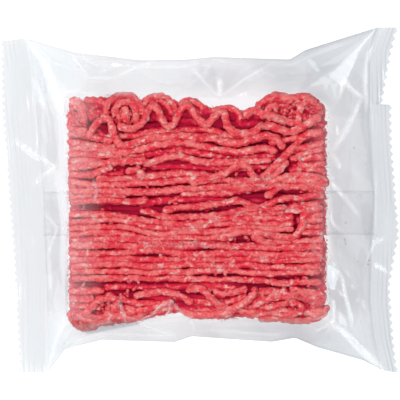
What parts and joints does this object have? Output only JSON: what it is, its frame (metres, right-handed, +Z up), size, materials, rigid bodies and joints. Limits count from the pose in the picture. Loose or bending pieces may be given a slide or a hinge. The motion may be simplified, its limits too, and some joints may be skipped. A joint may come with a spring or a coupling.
{
  "type": "flow-wrapped minced beef pack",
  "caption": "Clear sealed pillow pack of raw minced beef strands, with a crimped zigzag-cut seal across each end, lying flat.",
  "frame": {"origin": "on the surface that the pack lies on, under the middle of its outline", "axes": "+X along the pack from the left end seal to the right one, which has the tear slit, +Y to its back long side, +Z up"},
  "size_m": [0.199, 0.172, 0.036],
  "materials": {
    "clear_film": "clear, glossy and creased, whiter where it is crimped",
    "minced_beef": "moist raw meat, pinkish red with pale flecks of fat"
  },
  "bodies": {
    "root": {"sealed_mince_pack": "clear_film"}
  },
  "joints": []
}
